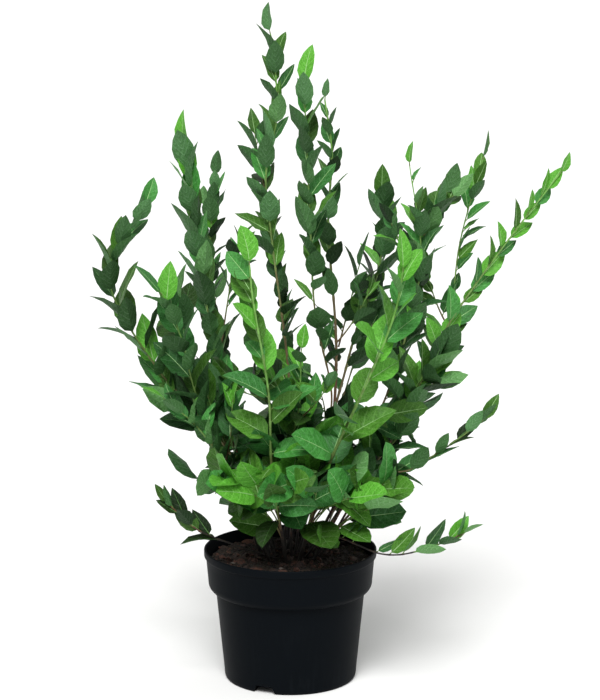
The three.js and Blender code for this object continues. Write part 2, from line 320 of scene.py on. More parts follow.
leafSurfaces = (
    [leafSurface(f"leafTop{i}", c, False) for i, c in enumerate(leafFinish["tonesAndShades"])]
    + [leafSurface(f"leafUnder{i}", c, True) for i, c in enumerate(leafFinish["underTonesAndShades"])]
    + [ribSurface(f"leafRib{i}", c) for i, c in enumerate(leafFinish["ribTonesAndShades"])]
)

barkFinish = {
    # age of the wood from 0, the youngest, and its colour; the last stage, past 1, comes only at the
    # foot of the canes by the soil: near black, the old bark darkened with painted shade under the crown
    "stages": [
        (0.0, (116, 170, 78)), (0.25, (104, 136, 66)), (0.5, (112, 98, 64)), (0.8, (106, 70, 50)),
        (1.05, (27, 22, 17)),
    ],
    "grainScale": (900.0, 900.0, 120.0), "blotchScale": 160.0, "patchy": 0.35, "streak": 0.55,
    "streakRange": (0.42, 0.68), "streakGloss": 0.1,
    "darker": (0.55, 0.5, 0.44, 1.0), "gloss": 0.5, "agedGloss": 0.15, "bump": 0.5, "bumpDepth": 0.0004,
}


def barkSurface():
    nodes = surface("youngBark")
    look, stages = barkFinish, barkFinish["stages"]
    streak = nodes.noise(nodes.scaled(nodes.place(), look["grainScale"]), 1.0, 3.0, 0.6)
    blotch = nodes.noise(nodes.place(), look["blotchScale"])
    age = nodes.add("ShaderNodeAttribute", attribute_name="age").part("Fac")
    age = age + (blotch - 0.5) * look["patchy"]
    base = linear(stages[0][1])
    for (low, _), (high, colour) in zip(stages, stages[1:]):
        base = nodes.mixed(nodes.between(age, low, high), base, linear(colour))
    mask = nodes.between(streak * 0.6 + blotch * 0.5, *look["streakRange"])
    darker = nodes.mixed(1.0, base, look["darker"], "MULTIPLY")
    return finishSurface(nodes, {
        "Base Color": nodes.mixed(mask * look["streak"], base, darker),
        "Roughness": mask * look["streakGloss"] + age * look["agedGloss"] + look["gloss"],
        "Normal": nodes.bump(streak, look["bump"], look["bumpDepth"])})


# leaves: one closed thin blade on every seed point

leafShape = {
    "rows": 6, "baseCurve": 0.62, "tipCurve": 0.98, "rowEase": 0.07, "thickness": 0.00018,
    "ribHalfWidth": 0.00042, "ribTaper": 0.75, "ribShare": 0.4, "ribGroove": 0.00016, "grooveShare": 0.3,
    "ribRidge": 0.0005, "ruffles": 11.0, "rufflePhase": 60.0, "weld": 0.00002,
}
# the tile of each finish in the shared bake: tones above, then tones below, then midribs
tiles = {
    "columns": 5, "rows": 4, "inset": 0.03,
    "under": len(leafFinish["tonesAndShades"]), "rib": len(leafFinish["tonesAndShades"]) + len(leafFinish["underTonesAndShades"]),
}


def leafTree():
    nodes, given = geometryTree("leafGrower", leafShape)

    # columns of faces across: three to each half above, two below
    def blade(columns, side):
        values = {"Size X": 1.0, "Size Y": 1.0, "Vertices X": given["rows"] + 1, "Vertices Y": columns + 1}
        grid = nodes.add("GeometryNodeMeshGrid", values)
        spot = nodes.split(nodes.add("GeometryNodeInputPosition"))
        grid = nodes.store(grid, "along", spot + 0.5)
        across = spot.part("Y") * 2
        if side < 0:
            across = across * (5 / 3 - across.maths("ABSOLUTE") * 2 / 3)  # so that they lie under those above
        grid = nodes.store(grid, "across", across)
        grid = nodes.store(grid, "side", side)
        return grid if side > 0 else nodes.add("GeometryNodeFlipFaces", {"Mesh": grid})

    template = nodes.add("GeometryNodeJoinGeometry", {0: [blade(6, 1.0), blade(4, -1.0)]})
    points = nodes.add("GeometryNodeMeshToPoints", {"Mesh": given["Mesh"]})
    leaves = nodes.add("GeometryNodeInstanceOnPoints", {"Points": points, "Instance": template})
    leaves = nodes.add("GeometryNodeRealizeInstances", {"Geometry": leaves})

    even, across, side = nodes.named("along"), nodes.named("across"), nodes.named("side")
    along = even - (even * math.tau).maths("SINE") * given["rowEase"]
    out = across.maths("ABSOLUTE")
    heading, facing = nodes.named("heading", "FLOAT_VECTOR"), nodes.named("facing", "FLOAT_VECTOR")
    reach, arch, fold = nodes.named("reach"), nodes.named("arch"), nodes.named("fold")
    twist, ruffle = nodes.named("twist") * along, nodes.named("ruffle")
    baseCurve, tipCurve = given["baseCurve"], given["tipCurve"] * nodes.named("pointed")
    widest = baseCurve / (baseCurve + tipCurve)
    outline = along ** baseCurve * (1 - along) ** tipCurve
    half = nodes.named("breadth") * 0.5 * outline / (widest ** baseCurve * (1 - widest) ** tipCurve)
    rib = (given["ribHalfWidth"] * (1 - along * given["ribTaper"])).maths("MINIMUM", half * given["ribShare"])
    offset = rib * (out * 3).maths("MINIMUM", 1) + (out * 1.5 - 0.5).maths("MAXIMUM", 0) * (half - rib)
    turn = arch * along
    bent = facing * turn.maths("COSINE") + heading * turn.maths("SINE")
    flat = nodes.add("ShaderNodeVectorMath", {0: facing, 1: heading}, operation="CROSS_PRODUCT")
    normal = bent * twist.maths("COSINE") + flat * twist.maths("SINE") * -1
    level = flat * twist.maths("COSINE") + bent * twist.maths("SINE")
    phase = along * given["ruffles"] + ruffle * given["rufflePhase"] + across
    wave = ruffle * out * out * half * phase.maths("SINE")
    groove = nodes.between(out, 0.0, given["grooveShare"], "LINEAR", (1.0, 0.0)) * given["ribGroove"]
    skin = given["thickness"] * (1 - out) - groove
    under = (given["thickness"] + given["ribRidge"] * (1 - along)) * (1 - out) * -1
    isTop = nodes.between(side, -1.0, 1.0, "LINEAR")
    lift = offset * fold.maths("SINE") + wave + skin * isTop + under * (1 - isTop)
    # the midrib bends as an arc does: the first terms of its sine and cosine
    centre = nodes.named("root", "FLOAT_VECTOR") + heading * (reach * along * (1 - turn * turn / 6))
    centre = centre - facing * (reach * arch * along * along * 0.5 * (1 - turn * turn / 12))
    place = centre + level * (offset * fold.maths("COSINE") * across.maths("SIGN")) + normal * lift
    leaves = nodes.add("GeometryNodeSetPosition", {"Geometry": leaves, "Position": place})

    onRib = out.maths("LESS_THAN", 0.25)
    # the finishes picked by tone carry painted shade and painted light as well as the leaves' own tint
    top = onRib * (nodes.named("ribTone") + tiles["rib"]) + (1 - onRib) * nodes.named("tone")
    tile = isTop * top + (1 - isTop) * (nodes.named("underTone") + tiles["under"])
    leaves = nodes.store(leaves, "tile", tile, "FLOAT", "FACE")
    tile, columns, inset = nodes.named("tile"), tiles["columns"], tiles["inset"]
    upright = across * 0.5 + 0.5
    column, row = tile.maths("MODULO", columns), (tile / columns).maths("FLOOR")
    shared = nodes.joined(
        (column + inset + along * (1 - 2 * inset)) / columns,
        (row + inset + upright * (1 - 2 * inset)) / tiles["rows"])
    leaves = nodes.store(leaves, "leafMap", nodes.joined(along, upright), "FLOAT2", "CORNER")
    leaves = nodes.store(leaves, "OFBake", shared, "FLOAT2", "CORNER")
    edge = out.maths("LESS_THAN", 0.99)
    leaves = nodes.add("GeometryNodeMergeByDistance", {"Geometry": leaves, "Distance": given["weld"]})
    smooth = {"Geometry": leaves, "Shade Smooth": edge}
    leaves = nodes.add("GeometryNodeSetShadeSmooth", smooth, domain="EDGE")
    for index, material in enumerate(leafSurfaces):
        leaves = nodes.painted(leaves, material, (tile - index).maths("ABSOLUTE").maths("LESS_THAN", 0.5))
    return nodes.finished(leaves)


# limbs: a round section swept along every line of the seed mesh, with bark relief

limbSides = {"canes": 8, "sideTwigs": 6, "leafStalks": 5}
limbShape = {"sides": 8, "relief": 0.14, "reliefScale": 420.0, "reliefStretch": 0.2, "youngRelief": 0.4}


def limbTree():
    nodes, given = geometryTree("limbGrower", limbShape)
    lines = nodes.add("GeometryNodeMeshToCurve", {"Mesh": given["Mesh"]})
    ring = nodes.add("GeometryNodeCurvePrimitiveCircle", {"Resolution": given["sides"], "Radius": 1.0})
    thick = nodes.named("thick")
    limbs = nodes.add("GeometryNodeCurveToMesh", {
        "Curve": lines, "Profile Curve": ring, "Scale": thick, "Fill Caps": True})
    place = nodes.add("GeometryNodeInputPosition")
    long = nodes.joined(1.0, 1.0, given["reliefStretch"])
    stretched = nodes.add("ShaderNodeVectorMath", {0: place, 1: long}, operation="MULTIPLY")
    rough = nodes.noise(stretched, given["reliefScale"]) - 0.5
    rough = rough * thick * given["relief"] * (nodes.named("age") + given["youngRelief"])
    normal = nodes.add("GeometryNodeInputNormal")
    limbs = nodes.add("GeometryNodeSetPosition", {"Geometry": limbs, "Offset": normal * rough})
    limbs = nodes.add("GeometryNodeRealizeInstances", {"Geometry": limbs})
    limbs = nodes.add("GeometryNodeSetShadeSmooth", {"Geometry": limbs, "Shade Smooth": True})
    return nodes.finished(nodes.painted(limbs, barkSurface()))


# the growing rule

# a pair is the range that a leaf's size and shape and the way to the next leaf are drawn from
plant = {
    # the canes darken to near black over a height above the soil: old bark with painted shade under the crown
    "seed": 14, "curveSteps": 60, "limbStep": 0.003, "soil": 0.136, "darkAndShadedFoot": 0.12, "footAge": 1.1,
    "footRadius": 0.0014, "tipRadius": 0.0005, "taper": 0.55, "nodeSwell": 0.3, "nodeLength": 0.0025,
    "twigRadius": 0.0011, "twigAge": 0.65, "woodFade": 1.2, "underTone": 0.6, "tipSpread": 8,
    "turnJitter": 12.0, "spreadJitter": 10.0, "facingJitter": 0.3, "toneJitter": 2.1, "twistJitter": 0.2,
    "size": (0.85, 1.12), "breadth": (0.88, 1.12), "arch": (-0.1, 0.55), "fold": (0.08, 0.42),
    "ruffle": (0.02, 0.12), "gap": (0.8, 1.2), "tipGap": 0.75, "leafyEnd": 0.97, "palestRib": 3.5,
    "fewestLeaves": 3, "lowest": 0.176, "tries": 4, "tryTurn": 75.0, "trySize": 0.88,
    "gapShares": (0.2, 0.45, 0.7, 0.95), "gapSlack": 200.0,
}
stalk = {
    "length": 0.0035, "inLeaf": 0.003, "radius": 0.0006312, "foot": 1.2, "tip": 0.5, "footAge": 0.378,
    "tipAge": 0.1,
}
twig = {
    "turn": 144.0, "length": (0.8, 1.2), "from": 0.9, "to": 0.8, "onward": 0.75, "outward": 0.6,
    "upward": 0.15, "bare": 0.2, "clumpBare": 0.35, "clumpTurn": 137.5, "clumpReach": (0.6, 0.85),
    "clumpFoot": 0.35, "clumpDrop": 0.06, "clumpInner": 0.9, "clumpStep": 4, "bend": 0.45, "bendSteps": 25,
}

# leaf and gap are the length of a full leaf and the way from one leaf to the next in mm, tipLeaf the
# share of that length at the tip, slim breadth over length, spread the angle off the limb in degrees
# at its foot and tip, start and turn the first leaf's place round the limb and the step to the next,
# light how far a leaf turns to the light, out the share of that from the side, front how far it turns
# to the front, flat how far the leaves part to both sides of the limb, pointed the taper of its tip,
# tone the finish at the foot and tip from 0 dark to 9 bright: partly the leaves' own tint, partly
# painted shade in the dark tones of shoots deep in or behind the crown and painted light in the
# bright tones of the lit front shoots
habits = {
    "shoot": {"leaf": 42, "tipLeaf": 0.6, "gap": 12, "spread": (50, 26), "slim": 0.54, "rise": 0.2,
              "start": (0, 360), "turn": 144, "light": 0.3, "out": 0.5, "front": 0.15, "flat": 0.3,
              "pointed": 1.0, "tone": (3, 6), "bare": 0.4, "wood": 1.0, "stout": 1.2, "twigs": 0,
              "twig": 60, "boughs": []},
    "clump": {"leaf": 58, "tipLeaf": 0.85, "gap": 16, "spread": (74, 46), "slim": 0.62, "rise": 0.2,
              "start": (0, 360), "turn": 144, "light": 1.2, "out": 0.7, "front": 0.0, "flat": 0.5,
              "pointed": 0.72, "tone": (3, 6)},
}

# line is the way of a shoot from the soil to its tip in mm, bare the share of it without leaves,
# boughs the lines of the limbs that leave it, twigs the number of side twigs on it, twig their length
shoots = {
    "tall": {
        "line": [(-7, 6, 136), (0, 15, 310), (-20, 25, 485), (-26, 28, 555), (-14, 29, 620),
                 (-18, 30, 690), (-21, 30, 706)],
        "bare": 0.42, "leaf": 46, "tipLeaf": 0.75, "gap": 13, "spread": (58, 22), "light": 0.2,
        "tone": (4, 6), "stout": 1.4, "twigs": 2},
    "tall_right": {
        "line": [(5, 0, 136), (18, -2, 230), (45, -5, 310), (27, -9, 410), (21, -14, 520), (15, -19, 655)],
        "leaf": 46, "tipLeaf": 0.85, "gap": 13, "spread": (58, 22), "light": 0.2, "tone": (4, 7), "twigs": 2},
    "slim": {
        "line": [(9, 11, 136), (40, 34, 225), (51, 60, 350), (42, 77, 490), (46, 84, 570), (38, 89, 630)],
        "leaf": 44, "tipLeaf": 0.45, "spread": (56, 30), "wood": 1.25, "stout": 1.8, "twigs": 2},
    "left_high": {
        "line": [(-16, -3, 136), (-61, 25, 250), (-90, 40, 400), (-103, 44, 495), (-113, 45, 578)],
        "bare": 0.36, "leaf": 46, "tipLeaf": 1.0, "spread": (44, 14), "tone": (5, 8)},
    "left_fork": {
        "line": [(-22, 9, 136), (-54, 49, 216), (-82, 95, 350), (-94, 110, 412), (-84, 128, 540)],
        "boughs": [[(-80, 90, 340), (-66, 96, 430), (-56, 98, 470)]],
        "bare": 0.46, "leaf": 44, "spread": (46, 20), "tone": (3, 5)},
    "left_arch": {
        "line": [(-32, 1, 136), (-62, -10, 226), (-97, -20, 300), (-138, -25, 346), (-184, -30, 422),
                 (-188, -31, 466), (-154, -30, 528)],
        "bare": 0.48, "leaf": 54, "tipLeaf": 0.65, "spread": (56, 26), "rise": 0.4, "tone": (6, 5),
        "stout": 1.3},
    "left_mid": {
        "line": [(-23, -13, 136), (-48, -27, 227), (-96, -46, 317), (-115, -61, 394), (-134, -68, 440)],
        "bare": 0.42, "leaf": 54, "tipLeaf": 0.75, "spread": (54, 34), "tone": (4, 6), "twigs": 4},
    "left_low": {
        "line": [(-22, -26, 136), (-52, -51, 224), (-95, -69, 294), (-130, -76, 328)],
        "leaf": 44, "spread": (44, 24), "tone": (4, 7), "twigs": 1},
    "front_left": {
        "line": [(-4, -30, 136), (-19, -76, 253), (-22, -98, 340), (-37, -116, 438), (-41, -119, 480)],
        "bare": 0.36, "leaf": 58, "tipLeaf": 0.7, "gap": 17, "spread": (68, 40), "slim": 0.6,
        "flat": 0.6, "light": 0.7, "front": 0.5, "pointed": 0.85, "tone": (7, 9), "wood": 0.5,
        "stout": 1.7},
    "front_right": {
        "line": [(10, -22, 136), (37, -72, 246), (79, -109, 352), (107, -121, 426), (116, -124, 474)],
        "bare": 0.36, "leaf": 62, "tipLeaf": 0.6, "gap": 17, "spread": (66, 34), "slim": 0.6,
        "flat": 0.6, "light": 0.7, "front": 0.5, "pointed": 0.85, "tone": (7, 9), "wood": 0.5,
        "stout": 1.9},
    "front_centre": {
        "line": [(1, -12, 136), (2, -46, 267), (10, -55, 319), (12, -61, 378)],
        "leaf": 46, "spread": (60, 40), "slim": 0.55, "tone": (6, 8), "wood": 0.6, "twigs": 2},
    "right_arch": {
        "line": [(27, -6, 136), (72, -6, 220), (120, -5, 284), (164, 0, 382), (201, 4, 440), (243, 6, 498),
                 (288, 5, 558)],
        "bare": 0.52, "leaf": 37, "tipLeaf": 0.7, "gap": 14, "spread": (50, 32), "rise": 0.4,
        "start": (-20, 20), "turn": 180, "front": 1.6, "tone": (7, 9), "stout": 1.4},
    "right_high": {
        "line": [(35, 5, 136), (106, 50, 250), (156, 78, 325), (179, 95, 390), (190, 108, 470),
                 (214, 110, 562)],
        "bare": 0.46, "leaf": 38, "tipLeaf": 0.8, "gap": 13, "spread": (52, 32), "start": (-20, 20),
        "turn": 180, "front": 1.0, "tone": (5, 8), "twigs": 1},
    "right_mid": {
        "line": [(21, 8, 136), (86, 20, 263), (129, 38, 382), (143, 48, 467), (130, 49, 562)],
        "bare": 0.42, "spread": (48, 26), "tone": (4, 7), "twigs": 3, "twig": 55},
    "right_fork": {
        "line": [(21, 8, 136), (85, 32, 262), (121, 52, 350), (146, 80, 470), (172, 86, 525)],
        "boughs": [[(144, 76, 460), (154, 80, 500), (178, 84, 522)]],
        "bare": 0.56, "tipLeaf": 0.9, "spread": (56, 40)},
    "right_elbow": {
        "line": [(27, -6, 136), (71, -15, 219), (123, -24, 286), (135, -29, 332), (160, -33, 366)],
        "boughs": [[(132, -28, 318), (144, -30, 344), (154, -32, 356)],
                   [(134, -29, 322), (144, -30, 334), (152, -32, 336)]],
        "bare": 0.46, "leaf": 50, "tipLeaf": 0.9, "spread": (56, 36), "tone": (4, 7), "twigs": 2},
    "right_low": {
        "line": [(23, -23, 136), (94, -50, 233), (131, -58, 250), (178, -64, 283), (204, -66, 304)],
        "bare": 0.5, "leaf": 50, "gap": 16, "spread": (50, 20), "slim": 0.46, "rise": 0.5, "tone": (3, 5)},
    "rim_right": {
        "line": [(15, -10, 136), (43, -50, 173), (98, -85, 163), (138, -93, 169), (182, -98, 188)],
        "bare": 0.36, "leaf": 44, "gap": 15, "spread": (46, 20), "slim": 0.48, "rise": 0.5, "tone": (6, 8)},
    "rim_left": {
        "line": [(-10, -18, 136), (-54, -39, 158), (-97, -62, 182), (-130, -70, 214)],
        "bare": 0.42, "leaf": 44, "gap": 13, "spread": (50, 24), "slim": 0.48, "rise": 0.5, "tone": (1, 3)},
    "back_centre": {
        "line": [(-5, 19, 136), (28, 52, 218), (57, 85, 310), (75, 102, 373), (101, 116, 445),
                 (102, 123, 515)],
        "boughs": [[(54, 96, 352), (70, 100, 415), (76, 102, 440)],
                   [(96, 114, 435), (112, 118, 480), (124, 120, 508)]],
        "bare": 0.46, "leaf": 46, "tipLeaf": 0.85, "spread": (56, 36), "wood": 1.1, "stout": 1.7, "twigs": 1},
    "back_left": {"line": [(-17, 24, 136), (-52, 89, 249), (-82, 146, 368), (-100, 172, 500)]},
    "back_high": {"line": [(-2, 34, 136), (-3, 93, 266), (-14, 154, 419), (-28, 170, 490)], "twigs": 1},
    "back_right": {"line": [(8, 25, 136), (43, 96, 239), (81, 155, 352), (112, 188, 476)]},
    "back_low_left": {"line": [(-30, 21, 136), (-79, 109, 218), (-136, 182, 312)]},
    "back_low_right": {"line": [(24, 20, 136), (89, 111, 211), (162, 180, 298)]},
}

# centre and half size in mm of each clump low in the crown, filled by side twigs from the nearest canes
# tone as for the shoots: the darker tones of the back clumps are partly painted shade
clumps = {
    "skirt_front_left": {"centre": (-54, -70, 228), "half": (44, 34, 20), "twigs": 7, "tone": (4, 8)},
    "skirt_front": {"centre": (3, -88, 234), "half": (46, 30, 18), "twigs": 7, "tone": (4, 8)},
    "skirt_front_right": {"centre": (72, -72, 226), "half": (44, 34, 24), "twigs": 7, "tone": (4, 8)},
    "skirt_back_left": {"centre": (-72, 70, 218), "half": (50, 44, 34), "twigs": 8},
    "skirt_back_right": {"centre": (74, 72, 214), "half": (50, 44, 34), "twigs": 8},
    "skirt_back": {"centre": (0, 104, 208), "half": (44, 34, 32), "twigs": 8},
    "shoulder_left": {"centre": (-70, -14, 304), "half": (36, 46, 36), "twigs": 7, "tone": (4, 6)},
    "shoulder_right": {"centre": (98, -16, 276), "half": (46, 48, 44), "twigs": 7, "tone": (4, 6)},
    "heart": {"centre": (2, -36, 268), "half": (54, 44, 42), "twigs": 8, "tone": (5, 7)},
    "heart_back": {"centre": (2, 66, 296), "half": (58, 46, 42), "twigs": 7, "tone": (3, 5)},
    "crown_middle": {"centre": (14, -22, 348), "half": (54, 44, 34), "twigs": 6, "tone": (4, 7)},
}

# gaps that stay open to the sky from the front: middle and half size in mm, across and up, where the
# line of sight meets the upright plane through the pot's axis
skyGaps = {
    "crown": [(-89, 572, 7, 22), (-4, 572, 12, 36), (-57, 554, 12, 26), (69, 542, 14, 20), (73, 510, 11, 14),
              (125, 546, 8, 16)],
    "right": [(177, 511, 12, 18), (167, 461, 12, 22), (188, 439, 6, 12), (151, 288, 11, 14),
              (181, 299, 16, 22)],
    "middle": [(5, 463, 9, 16), (-30, 451, 9, 14), (-20, 423, 7, 24), (56, 435, 7, 12), (35, 427, 8, 12),
               (18, 408, 8, 14), (-15, 381, 6, 16), (31, 360, 6, 14), (63, 383, 6, 10), (60, 341, 8, 14),
               (97, 325, 7, 12), (42, 311, 8, 10)],
    "left": [(-70, 416, 7, 9), (-96, 383, 7, 14), (-57, 365, 11, 16), (-45, 308, 8, 9)],
    "rim": [(-18, 186, 10, 8), (22, 186, 6, 6), (50, 182, 16, 8), (-96, 253, 12, 14),
            (-103, 206, 10, 10), (-81, 186, 12, 12), (98, 155, 8, 6)],
}

# the piece that leaves are joined into, by the first of these words that is in their shoot's name
leafWords = {
    "tall": "leavesTop", "slim": "leavesTop", "crown": "leavesTop", "back": "leavesBack",
    "front": "leavesFront", "heart": "leavesFront", "left": "leavesLeft", "right": "leavesRight",
}


def unit(v):
    return v / max(1e-9, float(np.linalg.norm(v)))


def lerp(a, b, t):
    return a + (b - a) * t


up = np.array([0.0, 0.0, 1.0])


def splinePoints(points):
    # Catmull-Rom through the points, with its ends carried on
    p = [np.array(q, float) for q in points]
    p = [2 * p[0] - p[1]] + p + [2 * p[-1] - p[-2]]
    out = []
    for i in range(1, len(p) - 2):
        a, b, c, d = p[i - 1:i + 3]
        for t in np.arange(plant["curveSteps"]) / plant["curveSteps"]:
            curve = (2 * a - 5 * b + 4 * c - d) * t + (3 * (b - c) + d - a) * t * t
            out.append(b + 0.5 * t * (c - a + curve))
    return np.array(out + [p[-2]])


class Limb:
    # a line by even steps of length, with its direction and a side vector at every step
    def __init__(self, points):
        points = np.array(points)
        run = np.concatenate([[0], np.cumsum(np.linalg.norm(np.diff(points, axis=0), axis=1))])
        self.length = run[-1]
        self.steps = max(4, int(self.length / plant["limbStep"]))
        even = np.linspace(0, run[-1], self.steps + 1)
        self.points = np.stack([np.interp(even, run, points[:, k]) for k in range(3)], 1)
        ways = np.gradient(self.points, axis=0)
        self.ways = ways / np.linalg.norm(ways, axis=1)[:, None]
        side = np.array([1.0, 0.0, 0.0])
        self.sides = []
        for way in self.ways:
            side = unit(side - way * (side @ way))
            self.sides.append(side)
        self.nodes = []

    def at(self, share):
        x = min(max(share, 0), 1) * self.steps
        i = min(int(x), self.steps - 1)
        return [lerp(v[i], v[i + 1], x - i) for v in (self.points, self.ways, self.sides)]

    def outwards(self, share, angle):
        # the place, the way on and the way out from the limb at an angle round it
        root, way, side = self.at(share)
        turned = math.radians(angle)
        return root, unit(way), unit(math.cos(turned) * side + math.sin(turned) * np.cross(way, side))


def arc(start, way, end):
    # a limb that leaves start along a way and bends over to end
    turn = start + way * float(np.linalg.norm(end - start)) * twig["bend"]
    t = np.linspace(0, 1, twig["bendSteps"])[:, None]
    return Limb(start * (1 - t) ** 2 + turn * 2 * t * (1 - t) + end * t * t)


def closesGap(leaf):
    # whether the leaf would close one of the gaps, or hang too low
    if (leaf["root"] + leaf["heading"] * leaf["reach"])[2] < plant["lowest"]:
        return True
    for share in plant["gapShares"]:
        place = leaf["root"] + leaf["heading"] * leaf["reach"] * share
        seen = lerp(np.array(eye["place"]), place, -eye["place"][1] / (place[1] - eye["place"][1])) * 1000
        slack = plant["gapSlack"] * leaf["breadth"] * math.sin(math.pi * share)
        for x, z, wide, high in [gap for area in skyGaps.values() for gap in area]:
            if ((seen[0] - x) / (wide + slack)) ** 2 + ((seen[2] - z) / (high + slack)) ** 2 < 1:
                return True
    return False


def finishNumber(tone, finishes):
    return float(np.clip(round(tone), 0, len(finishes) - 1))


def grownLeaf(root, way, radial, share, habit, rng):
    away = unit(np.array([root[0], root[1], 0.0]))
    radial = radial - away * (radial @ away) * habit["flat"]
    radial = unit(radial - way * (radial @ way))
    size = habit["leaf"] / 1000 * lerp(1, habit["tipLeaf"], share ** 2) * rng.uniform(*plant["size"])
    spread = math.radians(lerp(*habit["spread"], share ** 0.8) + rng.normal(0, plant["spreadJitter"]))
    heading = unit(math.cos(spread) * way + math.sin(spread) * radial + up * habit["rise"])
    light = unit(up * (1 - habit["out"]) + away * habit["out"])
    facing = unit(math.sin(spread) * way - math.cos(spread) * radial)
    facing = facing + light * habit["light"] - np.array([0, habit["front"], 0])
    facing = unit(facing + rng.normal(0, plant["facingJitter"], 3))
    facing = unit(facing - heading * (facing @ heading))
    # the tone picks the leaf's finish: its own tint with painted shade on dark tones and painted light on
    # bright ones
    tone = lerp(*habit["tone"], share) + rng.normal(0, plant["toneJitter"])
    stalked = root + heading * stalk["length"]
    return {
        "stalk": [root, stalked], "root": stalked, "heading": heading, "facing": facing,
        "reach": size, "breadth": size * habit["slim"] * rng.uniform(*plant["breadth"]),
        "arch": rng.uniform(*plant["arch"]), "fold": rng.uniform(*plant["fold"]),
        "twist": rng.normal(0, plant["twistJitter"]), "ruffle": rng.uniform(*plant["ruffle"]),
        "pointed": habit["pointed"], "tone": finishNumber(tone, leafFinish["tonesAndShades"]),
        "underTone": finishNumber(tone * plant["underTone"] - plant["underTone"], leafFinish["underTonesAndShades"]),
        "ribTone": float(tone > plant["palestRib"]),
    }


def leavesAlong(limb, bare, habit, rng):
    # one leaf at every node, each turned on from the one below it
    leaves = []
    at, angle = bare * limb.length, rng.uniform(*habit["start"])
    while at < plant["leafyEnd"] * limb.length:
        share = max(0.0, at / limb.length - bare) / (plant["leafyEnd"] - bare)
        for again in range(plant["tries"]):
            # a leaf that would close a gap is turned on and smaller, and at last left out
            smaller = {**habit, "leaf": habit["leaf"] * plant["trySize"] ** again}
            turned = angle + again * plant["tryTurn"]
            leaf = grownLeaf(*limb.outwards(at / limb.length, turned), share, smaller, rng)
            if not closesGap(leaf):
                leaves.append(leaf)
                limb.nodes.append(at)
                break
        angle += habit["turn"] + rng.normal(0, plant["turnJitter"])
        at += habit["gap"] / 1000 * lerp(1, plant["tipGap"], share) * rng.uniform(*plant["gap"])
    root, way, radial = limb.outwards(1.0, angle)
    tipHabit = {**habit, "spread": (plant["tipSpread"], plant["tipSpread"])}
    return leaves + [grownLeaf(root, way, radial, 1.0, tipHabit, rng)]


def sideTwigsOf(limb, habit, rng):
    # twigs spaced evenly up the leafy part, each turned on from the one below it
    made = []
    angle = rng.uniform(0, 360)
    for j in range(habit["twigs"]):
        share = lerp(habit["bare"] * twig["from"], twig["to"], (j + 0.5) / habit["twigs"])
        root, way, radial = limb.outwards(share, angle)
        length = habit["twig"] / 1000 * rng.uniform(*twig["length"])
        end = root + (way * twig["onward"] + radial * twig["outward"] + up * twig["upward"]) * length
        made.append(arc(root, unit(way + radial), end))
        angle += twig["turn"]
    return made


def clumpTwigs(clump, limbs, rng):
    # side twigs from the nearest canes to places spread evenly over the clump
    centre, half, step = np.array(clump["centre"]) / 1000, np.array(clump["half"]) / 1000, twig["clumpStep"]
    points = np.concatenate([limb.points[::step] for limb in limbs.values()])
    owners = [(limb, i) for limb in limbs.values() for i in range(0, limb.steps + 1, step)]
    made, first = [], rng.uniform(0, math.tau)
    for j in range(clump["twigs"]):
        z = 1 - 2 * (j + 0.5) / clump["twigs"]
        angle = math.radians(twig["clumpTurn"]) * j + first
        way = np.array([math.sqrt(1 - z * z) * math.cos(angle), math.sqrt(1 - z * z) * math.sin(angle), z])
        end = centre + half * way * rng.uniform(*twig["clumpReach"])
        foot = np.array([*(end[:2] * twig["clumpFoot"]), end[2] - twig["clumpDrop"]])
        inner = lerp(end, foot, twig["clumpInner"])
        limb, i = owners[int(np.linalg.norm(points - inner, axis=1).argmin())]
        made.append(arc(limb.points[i], limb.ways[i], end))
    return made


def growOn(made, bare, habit, rng, leaves, twigs):
    # leaves on the new limbs; one that would be left nearly bare isn't kept
    for limb in made:
        own = leavesAlong(limb, bare, habit, rng)
        if len(own) >= plant["fewestLeaves"] and not closesGap(own[-1]):
            leaves += own
            twigs.append(limb)


def growPlant():
    limbs, twigs, foliage = {}, [], {}
    for order, (name, shoot) in enumerate(shoots.items()):
        rng = np.random.default_rng([plant["seed"], order])
        habit = {**habits["shoot"], **shoot}
        limbs[name] = Limb(splinePoints(np.array(shoot["line"]) / 1000))
        foliage[name] = leavesAlong(limbs[name], habit["bare"], habit, rng)
        made = [Limb(splinePoints(np.array(line) / 1000)) for line in habit["boughs"]]
        made += sideTwigsOf(limbs[name], habit, rng)
        growOn(made, twig["bare"], habit, rng, foliage[name], twigs)
    for order, (name, clump) in enumerate(clumps.items()):
        rng = np.random.default_rng([plant["seed"], len(shoots) + order])
        habit = {**habits["clump"], **clump}
        foliage[name] = []
        growOn(clumpTwigs(clump, limbs, rng), twig["clumpBare"], habit, rng, foliage[name], twigs)
    return limbs, twigs, foliage


limbs, twigs, foliage = growPlant()
print("grown:", len(limbs), "shoots,", len(twigs), "twigs,", sum(map(len, foliage.values())), "leaves")


def limbSeeds(name, lines):
    # lines: points, radii and ages of each limb
    points, edges, thick, age = [], [], [], []
    for linePoints, lineThick, lineAge in lines:
        first = len(points)
        points += list(linePoints)
        thick += list(lineThick)
        age += list(lineAge)
        edges += [(i, i + 1) for i in range(first, len(points) - 1)]
    return seedMesh(name, points, edges, thick=thick, age=age)


def shootLine(limb, habit):
    share = np.linspace(0, 1, limb.steps + 1)
    thick = lerp(plant["footRadius"], plant["tipRadius"], share ** plant["taper"]) * habit["stout"]
    run = share * limb.length
    for node in limb.nodes:
        thick = thick * (1 + plant["nodeSwell"] * np.exp(-((run - node) / plant["nodeLength"]) ** 2))
    # near the soil the age goes past 1 into the near-black stage: old bark with painted shade under the crown
    foot = plant["footAge"] * np.exp(-((limb.points[:, 2] - plant["soil"]) / plant["darkAndShadedFoot"]) ** 2)
    return limb.points, thick, np.maximum((1 - share) ** plant["woodFade"] * habit["wood"], foot)


